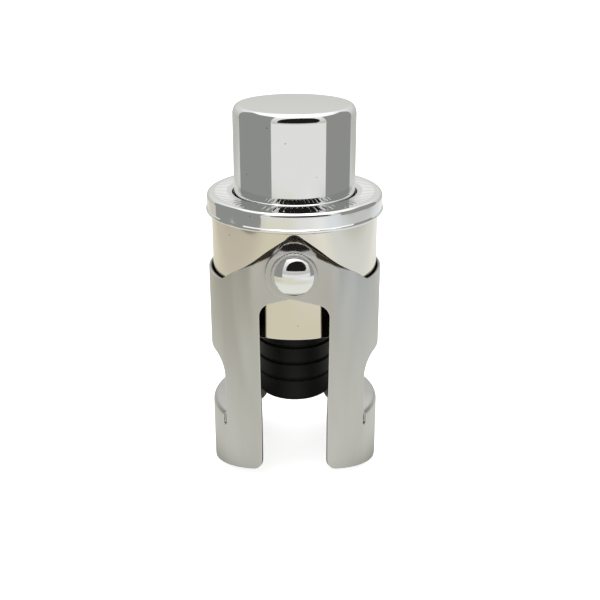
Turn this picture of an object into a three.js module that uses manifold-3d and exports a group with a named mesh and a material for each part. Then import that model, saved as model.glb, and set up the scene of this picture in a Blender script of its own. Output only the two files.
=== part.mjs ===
// Champagne stopper with a pump in its head.
// A chromed tube carries a ribbed rubber plug, a gasket for the bottle's mouth and a small air pump.
// Two arms of bent steel sheet swing on a front and a back rivet and hook under the bottle's collar.
// Millimetres, +Z up. The origin is on the axis, level with the tips of the arms. The front is -Y.

import * as THREE from 'three';
import { mergeVertices } from 'three/addons/utils/BufferGeometryUtils.js';
import Module from 'manifold-3d';

// Clearances
const seatGap = 0.2;          // between pieces that rest on each other
const fitGap = 0.3;           // round a piece that is pushed into another
const pivotGap = 0.15;        // round the shank of a rivet
const cutOverrun = 5;         // how far a cutting tool runs past the wall
const cutMargin = 0.5;        // from a blank's edge out to the first and the last cut
const weldSize = 0.00005;     // points closer than this are one point

// Body tube
const neckRoom = 8.45;        // for the bottle's neck, between the plug and the tube
const bodyWall = 1.2;
const bodyLength = 24.2;
const bodyAboveTips = 37;     // from the tips of the arms up to the tube's lower rim
const bodyRimRound = 0.35;
const ledgeWidth = 1.5;
const ledgeHeight = 1.2;

// Ring on top of the body
const flangeOverhang = 1.2;    // how far the ring stands out past the tube
const flangeHeight = 4.1;
const flangeWaist = 0.25;     // how far the band lies inside the bead at its lower edge
const flangeBead = 0.9;
const flangeBeadRound = 0.4;
const flangeRound = 1.0;
const flangePlate = 2.6;
const flangeSpigotWall = 1.0;
const flangeSpigotDepth = 2.1;
const flangeLipRound = 0.5;

// Cap
const capInset = 5.1;         // from the tube's outside in to the cap's
const capRise = 19.0;         // above the ring's top
const capWall = 0.8;
const capTopWall = 1.0;
const capRound = 1.7;
const capGap = 0.35;          // dark gap between the cap and the ring
const capLipWidth = 1.3;
const capLipHeight = 1.5;
const insertHeight = 2.6;

// Mouth gasket and base plate
const mouthDepth = 3.0;       // from the tube's rim up to the gasket
const gasketHeight = 1.8;
const gasketGap = 0.7;        // between the gasket and the snap ring
const plateHeight = 3.0;
const snapRingHeight = 0.8;
const snapRingWidth = 1.8;
const snapRingBite = 0.35;

// Rubber plug and its stem
const plugRadius = 8.85;
const plugReach = 20;         // from the tube's rim down to the end of the plug
const plugTipRound = 1.6;
const plugTipWall = 0.9;
const plugMouthRadius = 2.4;
const plugRibPitch = 4.1;
const plugFirstGroove = 5.7;  // from the plug's end to its lowest groove
const plugGrooveWidth = 0.9;
const plugGrooveDepth = 0.55;
const plugWall = 2.15;        // round the foot of the stem
const stemWall = 1.9;
const stemBite = 2.0;         // how far the stem goes up into the base plate
const stemFlangeHeight = 1.6;
const stemBoreRadius = 1.2;

// Valve in the stem
const valveSeatHeight = 1.6;
const valvePortRadius = 1.0;
const ballRadius = 1.6;
const ballGap = 0.15;
const ballSideGap = 1.0;      // from the ball out to the wall of its chamber
const checkSpringLength = 5.0;
const checkSpringRadius = 1.3;
const checkSpringWire = 0.36;

// Pump
const springWire = 0.9;
const springGap = 0.6;        // between the spring and the walls beside it
const barrelWall = 1.1;
const bossHeight = 0.6;
const pistonHeight = 3.2;
const pistonGap = 0.25;
const pistonFloor = 0.8;
const endGap = 0.4;           // left in the barrel at either end of the stroke
const sealWire = 1.4;
const sealGap = 0.1;
const guideHeight = 1.4;
const guideSpigotWall = 1.2;
const rodRadius = 2.0;
const rodDepth = 1.8;         // how far the rod goes up into the cap's insert

// Arms
const armGap = 0.3;           // between the arms and the tube
const armSheet = 0.7;
const earRadius = 6.0;
const earGap = 0.25;          // between the two ears on one rivet
const earFlatMargin = 1.5;
const earBlend = 7.5;         // over which the flat ear runs out into the round of the arm
const earRiseShare = 0.5;     // above the rivet, the flat of the ear reaches twice as far
const earFallShare = 0.35;    // below it, the flat runs down along the slot
const apexOver = 2.1;         // from the ear's circle up to where the top edges would meet
const apexRound = 2.6;
const topSlopeShare = 0.68;
const shoulderDrop = 4.45;     // from the rivets down to the arm's top edge at its side
const shoulderRound = 5.0;
const slotHalfWidth = 7.45;
const slotCorner = 2.9;
const slotVeeShare = 0.24;
const earBite = 0.37;         // how far the slot's top cuts into the ear's circle
const tipFlat = 4.5;          // half of the level edge at the arm's tip
const tipSlopeShare = 0.26;
const tipCorner = 3.0;
const windowHalfWidth = 12.0;
const windowTop = 29.5;
const windowCorner = 4.5;
const hookHeight = 14.2;      // where the hook is bent inward, above the tip
const hookReach = 3.05;
const hookBend = 0.8;
const hookRiseShare = 20 / 90;
const hookCorner = 1.0;
const reliefWidth = 1.2;
const reliefDepth = 1.9;
const reliefRoundShare = 0.49;

// Rivets and washers
const shankRadius = 2.0;
const headRadius = 4.05;
const headHeight = 2.4;
const headBrim = 0.35;
const headWasherRadius = 4.45;
const headWasherHeight = 0.4;
const tailRadius = 3.0;
const tailHeight = 0.8;
const tailWasherRadius = 3.3;
const tailWasherHeight = 0.5;

// Counts of facets
const fineSteps = 48;
const plugSteps = 36;
const coarseSteps = 24;
const smallSteps = 16;
const roundSteps = 3;
const smallRoundSteps = 2;
const ballRings = 8;
const sealSides = 6;
const domeSteps = 6;
const earSteps = 10;
const armColumns = 32;
const earRows = 9;
const fallRows = 4;
const hookRows = 3;
const returnTurns = 7;
const checkTurns = 4;
const coilSteps = 12;
const coilSides = 5;

// Heights and radii that follow from the sizes above
const bodyTop = bodyAboveTips + bodyLength;
const bodyBore = plugRadius + neckRoom;
const bodyRadius = bodyBore + bodyWall;
const flangeRadius = bodyRadius + flangeOverhang;
const capRadius = bodyRadius - capInset;
const gasketBottom = bodyAboveTips + mouthDepth;
const plateBottom = gasketBottom + gasketHeight + seatGap;
const plateTop = plateBottom + plateHeight;
const plateRadius = bodyBore - fitGap;
const ledgeBottom = plateTop + seatGap;
const flangeBottom = bodyTop + seatGap;
const flangeTop = flangeBottom + flangeHeight;
const capTop = flangeTop + capRise;
const capBore = capRadius - capWall;
const capLipTop = flangeTop - flangePlate - fitGap;
const spigotBottom = bodyTop - flangeSpigotDepth;
const pivotHeight = (ledgeBottom + ledgeHeight + spigotBottom) / 2;
const plugBottom = bodyAboveTips - plugReach;
const stemBottom = plugBottom + plugTipWall + seatGap;
const stemTop = plateBottom + stemBite;
const valveChamberRadius = ballRadius + ballSideGap;
const stemRadius = valveChamberRadius + stemWall;
const stemPocket = plugRadius - plugWall;

// The stroke is half of what the pump's inner pieces leave free between the base plate and the cap
const insertTop = capTop - capTopWall - seatGap;
const insertBottom = insertTop - insertHeight;
const barrelBottom = plateTop + seatGap;
const innerPieces = 2 * bossHeight + pistonHeight + 3 * endGap + seatGap + guideHeight;
const stroke = (insertBottom - plateTop - innerPieces) / 2;
const barrelTop = plateTop + 2 * bossHeight + stroke + pistonHeight + 2 * endGap;
const pistonTop = barrelTop - bossHeight - endGap;
const pistonBottom = pistonTop - pistonHeight;
const guideBottom = barrelTop + seatGap;
const springRadius = capBore - springGap - springWire / 2;
const barrelRadius = springRadius - springWire / 2 - springGap;
const barrelBore = barrelRadius - barrelWall;

// Distances from the axis out to the stacked pieces on the rivets
const innerEar = bodyRadius + armGap;
const outerEar = innerEar + armSheet + earGap;
const headWasherInner = outerEar + armSheet + seatGap;
const headBase = headWasherInner + headWasherHeight + seatGap;
const tailWasherOuter = Math.sqrt(bodyBore ** 2 - tailWasherRadius ** 2) - seatGap;
const tailBase = tailWasherOuter - tailWasherHeight - seatGap;

const wasm = await Module();
wasm.setup();

const chrome = new THREE.MeshStandardMaterial({ color: 0xd8d8d6, roughness: 0.06, metalness: 1 });
const steel = new THREE.MeshStandardMaterial({ color: 0xa8a7a2, roughness: 0.34, metalness: 1 });
const rubber = new THREE.MeshStandardMaterial({ color: 0x101010, roughness: 0.75, metalness: 0 });
const moulded = new THREE.MeshStandardMaterial({ color: 0xe9e7e0, roughness: 0.5, metalness: 0 });
const wire = new THREE.MeshStandardMaterial({ color: 0x9b9b99, roughness: 0.3, metalness: 1 });

const stopper = new THREE.Group();

function add(name, geometry, material, place = stopper) {
  const mesh = new THREE.Mesh(geometry, material);
  mesh.name = name;
  place.add(mesh);
  return mesh;
}

// Outline from sharp corners [x, y, rounding], each rounded by an arc that touches both of its edges
function rounded(corners, arcSteps = roundSteps) {
  const outline = [];
  corners.forEach(([x, y, rounding = 0], i) => {
    const corner = new THREE.Vector2(x, y);
    if (rounding === 0) {
      outline.push(corner);
      return;
    }
    const [px, py] = corners[(i + corners.length - 1) % corners.length];
    const [nx, ny] = corners[(i + 1) % corners.length];
    const back = new THREE.Vector2(px, py).sub(corner).normalize();
    const ahead = new THREE.Vector2(nx, ny).sub(corner).normalize();
    const half = Math.acos(THREE.MathUtils.clamp(back.dot(ahead), -1, 1)) / 2;
    const inward = back.clone().add(ahead).normalize();
    const middle = inward.multiplyScalar(rounding / Math.sin(half)).add(corner);
    const first = back.multiplyScalar(rounding / Math.tan(half)).add(corner).sub(middle);
    const last = ahead.multiplyScalar(rounding / Math.tan(half)).add(corner).sub(middle);
    const turn = Math.atan2(first.cross(last), first.dot(last));
    for (let k = 0; k <= arcSteps; k += 1) {
      outline.push(first.clone().rotateAround(new THREE.Vector2(), (turn * k) / arcSteps).add(middle));
    }
  });
  return outline;
}

function arcPoints(x, y, radius, from, to, steps) {
  const points = [];
  for (let k = 0; k <= steps; k += 1) {
    const angle = from + ((to - from) * k) / steps;
    points.push([x + radius * Math.cos(angle), y + radius * Math.sin(angle)]);
  }
  return points;
}

// Ring or disc about +Z. The profile lists [distance from the axis, height] anticlockwise.
function revolve(profile, steps = fineSteps) {
  const points = profile.map((p) => (Array.isArray(p) ? new THREE.Vector2(...p) : p));
  const onAxis = points.findIndex((p, i) => p.x === 0 && points[(i + 1) % points.length].x === 0);
  const loop = [...points.slice(onAxis + 1), ...points.slice(0, onAxis + 1)];
  if (onAxis < 0) loop.push(loop[0].clone());
  return new THREE.LatheGeometry(loop, steps).rotateX(Math.PI / 2);
}

function toSolid(geometry) {
  const bare = geometry.clone();
  bare.deleteAttribute('normal');
  bare.deleteAttribute('uv');
  const merged = mergeVertices(bare);
  const vertProperties = new Float32Array(merged.attributes.position.array);
  const triVerts = new Uint32Array(merged.index.array);
  return new wasm.Manifold(new wasm.Mesh({ numProp: 3, vertProperties, triVerts }));
}

function toGeometry(solid) {
  const { vertProperties, triVerts } = solid.getMesh();
  const geometry = new THREE.BufferGeometry();
  geometry.setAttribute('position', new THREE.BufferAttribute(new Float32Array(vertProperties), 3));
  geometry.setIndex(new THREE.BufferAttribute(new Uint32Array(triVerts), 1));
  geometry.computeVertexNormals();
  return geometry;
}

// Body tube, with a ledge that the base plate rests against, a groove for its snap ring and rivet holes
function bodyShell() {
  const grooveRadius = bodyBore + snapRingBite + seatGap;
  const grooveBottom = plateBottom - snapRingHeight - 2 * seatGap;
  const profile = rounded([
    [bodyBore, bodyAboveTips, bodyRimRound],
    [bodyRadius, bodyAboveTips, bodyRimRound],
    [bodyRadius, bodyTop],
    [bodyBore, bodyTop],
    [bodyBore, ledgeBottom + ledgeHeight],
    [bodyBore - ledgeWidth, ledgeBottom + ledgeHeight],
    [bodyBore - ledgeWidth, ledgeBottom],
    [bodyBore, ledgeBottom],
    [bodyBore, plateBottom],
    [grooveRadius, plateBottom],
    [grooveRadius, grooveBottom],
    [bodyBore, grooveBottom],
  ], smallRoundSteps);
  const holeRadius = shankRadius + pivotGap;
  const drillLength = 2 * (bodyRadius + cutOverrun);
  const drill = new THREE.CylinderGeometry(holeRadius, holeRadius, drillLength, smallSteps);
  drill.translate(0, 0, pivotHeight);
  return toGeometry(toSolid(revolve(profile)).subtract(toSolid(drill)));
}

// Ring on top of the body: a band with a bead at its lower edge, and a spigot inside the tube
function flangeRing() {
  const band = flangeRadius - flangeWaist;
  const spigot = bodyBore - fitGap;
  const plate = flangeTop - flangePlate;
  return revolve(rounded([
    [spigot, flangeBottom],
    [flangeRadius, flangeBottom, flangeBeadRound],
    [flangeRadius, flangeBottom + flangeBead, flangeWaist],
    [band, flangeBottom + flangeBead + flangeWaist],
    [band, flangeTop, flangeRound],
    [capRadius + capGap, flangeTop, flangeLipRound],
    [capRadius + capGap, plate],
    [spigot - flangeSpigotWall, plate],
    [spigot - flangeSpigotWall, spigotBottom],
    [spigot, spigotBottom],
  ], smallRoundSteps));
}

// Cap: a drawn cup with a lip at its foot that stops it under the ring
function pumpCap() {
  const lipRadius = capRadius + capLipWidth;
  const ceiling = capTop - capTopWall;
  return revolve(rounded([
    [capBore, capLipTop - capLipHeight],
    [lipRadius, capLipTop - capLipHeight],
    [lipRadius, capLipTop],
    [capRadius, capLipTop],
    [capRadius, capTop, capRound],
    [0, capTop],
    [0, ceiling],
    [capBore, ceiling, capRound - capWall],
  ]));
}

function capInsert() {
  const radius = capBore - seatGap;
  const socket = rodRadius + pivotGap;
  const socketTop = insertBottom + rodDepth + seatGap;
  return revolve(rounded([
    [socket, insertBottom],
    [radius, insertBottom],
    [radius, insertTop, capRound - capWall],
    [0, insertTop],
    [0, socketTop],
    [socket, socketTop],
  ], smallRoundSteps), coarseSteps);
}

// Base plate: carries the gasket, the plug's stem and the barrel, and has the air port in its middle
function basePlate() {
  const socket = stemRadius + fitGap;
  const socketTop = stemTop + seatGap;
  const boss = barrelBore - seatGap;
  return revolve([
    [socket, plateBottom],
    [plateRadius, plateBottom],
    [plateRadius, plateTop],
    [boss, plateTop],
    [boss, plateTop + bossHeight],
    [valvePortRadius, plateTop + bossHeight],
    [valvePortRadius, socketTop],
    [socket, socketTop],
  ], coarseSteps);
}

// Flat ring with a square section
function washer(inner, outer, bottom, height, steps = coarseSteps) {
  const top = bottom + height;
  return revolve([[inner, bottom], [outer, bottom], [outer, top], [inner, top]], steps);
}

// Rubber plug: a sleeve on the stem, with grooves between its ribs and a small mouth in its end
function rubberPlug() {
  const top = gasketBottom + gasketHeight;
  const bore = stemRadius + fitGap;
  const pocketTop = stemBottom + stemFlangeHeight + seatGap;
  const corners = [
    [plugMouthRadius, plugBottom],
    [plugRadius, plugBottom, plugTipRound],
  ];
  const grooves = Math.floor((plugReach - plugFirstGroove) / plugRibPitch);
  for (let k = 0; k < grooves; k += 1) {
    const z = plugBottom + plugFirstGroove + k * plugRibPitch;
    corners.push([plugRadius, z - plugGrooveWidth / 2]);
    corners.push([plugRadius - plugGrooveDepth, z]);
    corners.push([plugRadius, z + plugGrooveWidth / 2]);
  }
  corners.push([plugRadius, top]);
  corners.push([bore, top]);
  corners.push([bore, pocketTop]);
  corners.push([stemPocket, pocketTop]);
  corners.push([stemPocket, plugBottom + plugTipWall]);
  corners.push([plugMouthRadius, plugBottom + plugTipWall]);
  return revolve(rounded(corners), plugSteps);
}

// Where the ball closes the valve, and where its spring holds it
const seatBottom = stemTop - valveSeatHeight;
const ballHeight = seatBottom - Math.sqrt(ballRadius ** 2 - valvePortRadius ** 2) - ballGap;
const ballToWire = Math.sqrt((ballRadius + checkSpringWire / 2) ** 2 - checkSpringRadius ** 2);
const checkSpringTop = ballHeight - ballToWire - ballGap + checkSpringWire / 2;
const checkSpringBottom = checkSpringTop - checkSpringLength;

function plugCore() {
  const foot = stemPocket - fitGap;
  const chamberFloor = checkSpringBottom - seatGap;
  return revolve([
    [stemBoreRadius, stemBottom],
    [foot, stemBottom],
    [foot, stemBottom + stemFlangeHeight],
    [stemRadius, stemBottom + stemFlangeHeight],
    [stemRadius, stemTop],
    [valveChamberRadius, stemTop],
    [valveChamberRadius, chamberFloor],
    [stemBoreRadius, chamberFloor],
  ], smallSteps);
}

function pistonBody() {
  const radius = barrelBore - pistonGap;
  const grooveRadius = barrelBore - sealGap - sealWire - seatGap;
  const middle = (pistonTop + pistonBottom) / 2;
  const grooveHalf = sealWire / 2 + seatGap;
  const socket = rodRadius + pivotGap;
  return revolve([
    [0, pistonBottom],
    [radius, pistonBottom],
    [radius, middle - grooveHalf],
    [grooveRadius, middle - grooveHalf],
    [grooveRadius, middle + grooveHalf],
    [radius, middle + grooveHalf],
    [radius, pistonTop],
    [socket, pistonTop],
    [socket, pistonBottom + pistonFloor],
    [0, pistonBottom + pistonFloor],
  ], coarseSteps);
}

function pistonSeal() {
  const middle = (pistonTop + pistonBottom) / 2;
  const radius = barrelBore - sealGap - sealWire / 2;
  return new THREE.TorusGeometry(radius, sealWire / 2, sealSides, coarseSteps).translate(0, 0, middle);
}

function pistonRod() {
  const bottom = pistonBottom + pistonFloor + seatGap;
  const top = insertBottom + rodDepth;
  return revolve([[0, bottom], [rodRadius, bottom], [rodRadius, top], [0, top]], smallSteps);
}

function barrelGuide() {
  const spigot = barrelBore - seatGap;
  const hole = rodRadius + fitGap;
  return revolve([
    [hole, guideBottom],
    [spigot - guideSpigotWall, guideBottom],
    [spigot - guideSpigotWall, barrelTop - bossHeight],
    [spigot, barrelTop - bossHeight],
    [spigot, guideBottom],
    [barrelRadius, guideBottom],
    [barrelRadius, guideBottom + guideHeight],
    [hole, guideBottom + guideHeight],
  ], coarseSteps);
}

// Coil spring: one wire along a helix, from its lower to its upper seat
class Helix extends THREE.Curve {
  constructor(radius, bottom, top, turns) {
    super();
    Object.assign(this, { radius, bottom, top, turns });
  }

  getPoint(t, target = new THREE.Vector3()) {
    const angle = 2 * Math.PI * this.turns * t;
    const height = this.bottom + (this.top - this.bottom) * t;
    return target.set(this.radius * Math.cos(angle), this.radius * Math.sin(angle), height);
  }
}

function coilSpring(name, radius, wireSize, bottom, top, turns) {
  const helix = new Helix(radius, bottom + wireSize / 2, top - wireSize / 2, turns);
  const section = new THREE.Shape(arcPoints(0, 0, wireSize / 2, 0, 2 * Math.PI, coilSides)
    .slice(0, coilSides).map((p) => new THREE.Vector2(...p)));
  const steps = turns * coilSteps;
  const points = helix.getPoints(steps);
  let least = Infinity;
  points.forEach((p, i) => {
    for (let k = i + coilSteps / 2; k <= steps; k += 1) least = Math.min(least, p.distanceTo(points[k]));
  });
  console.log(`${name}: least gap between turns ${(least - wireSize).toFixed(2)} mm`);
  return new THREE.ExtrudeGeometry(section, { steps, extrudePath: helix });
}

// Arm, cut flat from sheet and then formed. On the flat blank, u runs round the arm from its middle and
// v is the height. The pivots are at u = -quarter and u = +quarter.
const neutralRadius = innerEar + armSheet / 2;
const quarter = (neutralRadius * Math.PI) / 2;
const hookFold = (1 - hookRiseShare) * (Math.PI / 2);
const hookStraight = (hookReach - hookBend * (1 - Math.cos(hookFold))) / Math.sin(hookFold);
const hookTop = hookHeight + hookBend * hookFold + hookStraight;
const hookHalfWidth = windowHalfWidth - reliefWidth;

// One half of the blank's edge, as [distance from the pivot towards the middle, height, rounding],
// from the middle of the tip up over the ear to the middle of the top edge
function earEdge() {
  const slotTop = pivotHeight - earRadius + earBite;
  const level = slotTop - pivotHeight;
  const k = slotVeeShare;
  const under = (level * k) ** 2 - (1 + k * k) * (level ** 2 - earRadius ** 2);
  const farSide = (level * k - Math.sqrt(under)) / (1 + k * k);
  const earFrom = Math.atan2(level - k * farSide, farSide) + 2 * Math.PI;
  const slant = Math.sqrt(1 + topSlopeShare ** 2);
  const peak = pivotHeight + earRadius + apexOver;
  const apexCentre = peak - apexRound * slant;
  const lean = Math.asin((earRadius - apexRound) / (apexCentre - pivotHeight));
  const shoulder = pivotHeight - shoulderDrop;
  return [
    [quarter - tipFlat, 0],
    [slotHalfWidth, tipSlopeShare * (quarter - tipFlat - slotHalfWidth), tipCorner],
    [slotHalfWidth, slotTop - k * slotHalfWidth, slotCorner],
    ...arcPoints(0, pivotHeight, earRadius, earFrom, Math.PI - lean, earSteps),
    ...arcPoints(0, apexCentre, apexRound, Math.PI - lean, Math.atan2(1, topSlopeShare), roundSteps),
    [(peak - shoulder) / topSlopeShare, shoulder, shoulderRound],
  ];
}

function armBlank() {
  const edge = earEdge();
  const right = edge.map(([x, v, r]) => [quarter - x, v, r]);
  const left = edge.map(([x, v, r]) => [x - quarter, v, r]).reverse();
  const blank = new THREE.Shape(rounded([...right, ...left]));
  const hole = shankRadius + pivotGap;
  [-quarter, quarter].forEach((u) => {
    blank.holes.push(new THREE.Path(arcPoints(u, pivotHeight, hole, 0, 2 * Math.PI, smallSteps)
      .slice(0, smallSteps).map((p) => new THREE.Vector2(...p))));
  });
  const reliefFoot = hookHeight - reliefDepth;
  const reliefRound = reliefWidth * reliefRoundShare;
  blank.holes.push(new THREE.Path(rounded([
    [-windowHalfWidth, reliefFoot, reliefRound],
    [-hookHalfWidth, reliefFoot, reliefRound],
    [-hookHalfWidth, hookTop, hookCorner],
    [hookHalfWidth, hookTop, hookCorner],
    [hookHalfWidth, reliefFoot, reliefRound],
    [windowHalfWidth, reliefFoot, reliefRound],
    [windowHalfWidth, windowTop, windowCorner],
    [-windowHalfWidth, windowTop, windowCorner],
  ])));
  return new THREE.ExtrudeGeometry(blank, { depth: armSheet, bevelEnabled: false });
}

// Moves the nearest of the evenly spaced cuts to each place that has to lie on one
function cutsThrough(cuts, places) {
  const moved = [...cuts];
  places.forEach((place) => {
    const distances = moved.map((cut) => Math.abs(cut - place));
    moved[distances.indexOf(Math.min(...distances))] = place;
  });
  return moved;
}

// Cuts the flat blank into columns and rows, and keeps only what was its own surface
function cellsOf(blank, columns, rowsOf) {
  const sheet = toSolid(blank);
  const triangles = [];
  columns.slice(1).forEach((right, k) => {
    const left = columns[k];
    const rows = rowsOf(left, right);
    rows.slice(1).forEach((top, n) => {
      const bottom = rows[n];
      const box = new THREE.BoxGeometry(right - left, top - bottom, armSheet + cutOverrun);
      box.translate((left + right) / 2, (bottom + top) / 2, armSheet / 2);
      const cell = toGeometry(sheet.intersect(toSolid(box))).toNonIndexed().attributes.position;
      for (let i = 0; i < cell.count; i += 3) {
        const corners = [0, 1, 2].map((j) => new THREE.Vector3().fromBufferAttribute(cell, i + j));
        const onCut = [['x', left], ['x', right], ['y', bottom], ['y', top]].some(([axis, cut]) => (
          corners.every((p) => Math.abs(p[axis] - cut) < weldSize)));
        if (!onCut) triangles.push(corners);
      }
    });
  });
  return triangles;
}

// Joins points that lie on each other, and leaves out triangles that vanish
function weld(triangles) {
  const points = [];
  const index = triangles.map((triangle) => triangle.map((p) => {
    const known = points.findIndex((q) => q.distanceTo(p) < weldSize);
    return known < 0 ? points.push(p) - 1 : known;
  }));
  const geometry = new THREE.BufferGeometry().setFromPoints(points);
  geometry.setIndex(index.filter(([a, b, c]) => a !== b && b !== c && c !== a).flat());
  geometry.computeVertexNormals();
  return geometry;
}

function evenly(from, to, count) {
  return Array.from({ length: count + 1 }, (_, k) => from + ((to - from) * k) / count);
}

// Bends a point of the blank: the sheet follows the tube, its ears are pressed flat and its hook turns in
function formed(p) {
  const angle = p.x / neutralRadius;
  const across = quarter - Math.abs(p.x);
  const rise = p.y - pivotHeight;
  let radius = innerEar + p.z;
  let height = p.y;
  if (Math.abs(p.x) < windowHalfWidth && p.y > hookHeight && p.y < (hookTop + windowTop) / 2) {
    const along = p.y - hookHeight;
    const fold = Math.min(along / hookBend, hookFold);
    const straight = along - hookBend * fold;
    radius = innerEar - hookBend * (1 - Math.cos(fold)) - straight * Math.sin(fold) + p.z * Math.cos(fold);
    height = hookHeight + hookBend * Math.sin(fold) + straight * Math.cos(fold) + p.z * Math.sin(fold);
  }
  const round = new THREE.Vector3(radius * Math.cos(angle), radius * Math.sin(angle), height);
  const earFace = (p.x < 0 ? outerEar : innerEar) + p.z;
  const flat = new THREE.Vector3(across, Math.sign(p.x) * earFace, height);
  const reach = Math.hypot(across, rise * (rise > 0 ? earRiseShare : earFallShare));
  return round.lerp(flat, 1 - THREE.MathUtils.smoothstep(reach, earRadius + earFlatMargin,
    earRadius + earFlatMargin + earBlend));
}

function arm() {
  const end = quarter + earRadius + cutMargin;
  const earTop = pivotHeight + earRadius + apexOver;
  const relief = hookHalfWidth + reliefWidth / 2;
  const columns = cutsThrough(evenly(-end, end, armColumns), [-relief, relief]);
  const bend = evenly(hookHeight, hookHeight + hookBend * hookFold, hookRows);
  const earFoot = pivotHeight - earRadius - earBite;
  const ears = evenly(earFoot, earTop, earRows);
  const fall = evenly(windowTop - windowCorner, earFoot, fallRows).slice(0, fallRows);
  const sheet = cellsOf(armBlank(), columns, (left, right) => {
    const inHook = Math.max(Math.abs(left), Math.abs(right)) < windowHalfWidth;
    return [-cutMargin, ...(inHook ? bend : [hookHeight]), ...fall, ...ears];
  });
  return weld(sheet.map((triangle) => triangle.map(formed)));
}

// Rivet on +Z: domed head outside, shank through the ears and the tube, and a button end inside
function rivet() {
  const dome = new THREE.Vector2(headRadius, headHeight - headBrim);
  const domeRadius = (dome.x ** 2 + dome.y ** 2) / (2 * dome.y);
  const domeCentre = headBase + headHeight - domeRadius;
  const spread = Math.asin(Math.min(1, dome.x / domeRadius));
  const domeArc = arcPoints(0, domeCentre, domeRadius, Math.PI / 2 - spread, Math.PI / 2, domeSteps);
  return revolve([
    [0, tailBase - tailHeight],
    [tailRadius - tailHeight / 2, tailBase - tailHeight],
    [tailRadius, tailBase - tailHeight / 2],
    [tailRadius, tailBase],
    [shankRadius, tailBase],
    [shankRadius, headBase],
    [headRadius, headBase],
    ...domeArc.slice(0, domeSteps),
    [0, headBase + headHeight],
  ], smallSteps);
}

const head = new THREE.Group();
stopper.add(head);
add('body_shell', bodyShell(), chrome, head);
add('flange_ring', flangeRing(), chrome, head);
add('base_plate', basePlate(), moulded, head);
const snapRingInner = bodyBore + snapRingBite - snapRingWidth;
add('base_snap_ring', washer(snapRingInner, snapRingInner + snapRingWidth,
  plateBottom - seatGap - snapRingHeight, snapRingHeight), wire, head);
const gasketInner = plugRadius + fitGap;
const gasketOuter = snapRingInner - gasketGap;
add('mouth_gasket', washer(gasketInner, gasketOuter, gasketBottom, gasketHeight, fineSteps), rubber, head);
add('rubber_plug', rubberPlug(), rubber, head);
add('plug_core', plugCore(), moulded, head);
const valveSeatRadius = valveChamberRadius - seatGap;
add('valve_seat', washer(valvePortRadius, valveSeatRadius, seatBottom, valveSeatHeight, smallSteps),
  rubber, head);
const ball = new THREE.SphereGeometry(ballRadius, smallSteps, ballRings);
add('check_ball', ball.translate(0, 0, ballHeight), wire, head);
add('check_spring', coilSpring('check_spring', checkSpringRadius, checkSpringWire, checkSpringBottom,
  checkSpringTop, checkTurns), wire, head);

const pump = new THREE.Group();
stopper.add(pump);
add('pump_barrel', washer(barrelBore, barrelRadius, barrelBottom, barrelTop - barrelBottom), moulded, pump);
add('barrel_guide', barrelGuide(), moulded, pump);
add('piston', pistonBody(), moulded, pump);
add('piston_seal', pistonSeal(), rubber, pump);
add('piston_rod', pistonRod(), wire, pump);
add('return_spring', coilSpring('return_spring', springRadius, springWire, plateTop + seatGap,
  insertBottom - seatGap, returnTurns), wire, pump);
add('cap_insert', capInsert(), moulded, pump);
add('pump_cap', pumpCap(), chrome, pump);

// The two arms are the same piece, one of them turned half way round
[['right_arm', 0], ['left_arm', Math.PI]].forEach(([name, turn]) => {
  add(name, arm(), steel).rotation.z = turn;
});

// The same rivet and washers at the front and at the back
[['front', Math.PI / 2], ['back', -Math.PI / 2]].forEach(([side, tilt]) => {
  const pivot = new THREE.Group();
  pivot.position.z = pivotHeight;
  pivot.rotation.x = tilt;
  stopper.add(pivot);
  const hole = shankRadius + pivotGap;
  add(`${side}_rivet`, rivet(), chrome, pivot);
  const outside = washer(hole, headWasherRadius, headWasherInner, headWasherHeight, smallSteps);
  add(`${side}_washer`, outside, steel, pivot);
  const tailWasherInner = tailWasherOuter - tailWasherHeight;
  const inside = washer(hole, tailWasherRadius, tailWasherInner, tailWasherHeight, smallSteps);
  add(`${side}_tail_washer`, inside, wire, pivot);
});

export default stopper;
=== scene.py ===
"""Looks of a champagne stopper with a pump in its head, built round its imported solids.

Metres, +Z up. The stopper stands on the tips of its two arms, and its front rivet faces -Y.
"""
import math

import bmesh
import bpy
import numpy as np
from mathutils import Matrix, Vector, geometry


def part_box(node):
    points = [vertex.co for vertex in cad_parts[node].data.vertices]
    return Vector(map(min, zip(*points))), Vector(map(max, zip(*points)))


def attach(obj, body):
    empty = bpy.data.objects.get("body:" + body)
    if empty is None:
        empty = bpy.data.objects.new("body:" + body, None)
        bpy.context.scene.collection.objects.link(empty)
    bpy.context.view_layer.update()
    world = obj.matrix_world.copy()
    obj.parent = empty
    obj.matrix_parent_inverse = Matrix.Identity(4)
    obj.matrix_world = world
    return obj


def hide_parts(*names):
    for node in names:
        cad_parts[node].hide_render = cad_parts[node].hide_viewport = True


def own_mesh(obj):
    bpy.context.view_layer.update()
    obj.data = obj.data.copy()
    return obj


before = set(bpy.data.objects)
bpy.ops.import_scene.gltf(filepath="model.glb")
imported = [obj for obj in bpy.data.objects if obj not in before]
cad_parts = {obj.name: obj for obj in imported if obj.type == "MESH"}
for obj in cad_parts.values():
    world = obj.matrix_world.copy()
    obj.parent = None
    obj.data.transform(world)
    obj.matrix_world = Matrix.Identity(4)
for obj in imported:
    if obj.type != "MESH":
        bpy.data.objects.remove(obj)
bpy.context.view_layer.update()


# Body tube
# A drawn brass tube, nickel plated to a warm mirror. A ledge inside carries the base plate, and a
# groove under it holds the snap ring that keeps the plate up.
tube_low, tube_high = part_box("body_shell")
tube_radius = tube_high.x
tube_wall = 0.0012
tube_bore = tube_radius - tube_wall
tube_rim_round = 0.00035
ledge_bottom, ledge_top, ledge_width = 0.0452, 0.0464, 0.0015
groove_bottom, groove_top, groove_depth = 0.0408, 0.0420, 0.00055
nickel = (0.77, 0.735, 0.655)


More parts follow.
